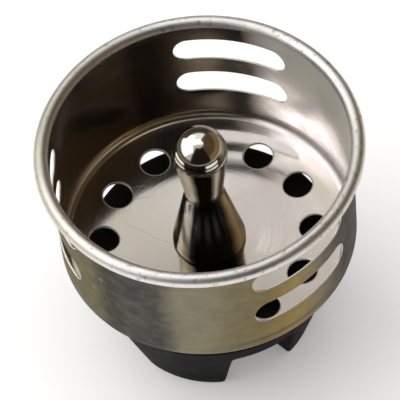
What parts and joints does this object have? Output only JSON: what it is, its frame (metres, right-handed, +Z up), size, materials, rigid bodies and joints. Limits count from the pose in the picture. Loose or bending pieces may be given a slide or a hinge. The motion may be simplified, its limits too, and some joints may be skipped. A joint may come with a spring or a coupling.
{
  "type": "sink strainer",
  "caption": "Drawn stainless sink basket strainer with a curled rim, slotted wall and pierced floor, a turned knob and a notched tapered rubber stopper on its stem.",
  "frame": {"origin": "on the surface that the lugs stand on, under the middle of the basket", "axes": "+Z up the stem towards the knob; +Y through the middle of one group of wall slots"},
  "size_m": [0.08, 0.08, 0.0724],
  "materials": {
    "stainless": "satin drawn stainless sheet",
    "chrome": "polished plating, a little worn",
    "rubber": "matt black moulded rubber",
    "steel": "plain stainless",
    "brass": "plain turned brass"
  },
  "bodies": {
    "basket": {"basket_shell": "stainless"},
    "knob_and_stopper": {"knob": "chrome", "stem_stud": "steel", "pivot_sleeve": "brass", "backing_washer": "steel", "stopper": "rubber", "clamp_washer": "steel", "lock_washer": "steel", "stem_nut": "brass"}
  },
  "joints": [
    {"name": "knob_turn", "type": "hinge", "parent": "basket", "child": "knob_and_stopper", "pos_m": [0, 0, 0.0295], "axis": [0, 0, 1], "continuous": true}
  ]
}
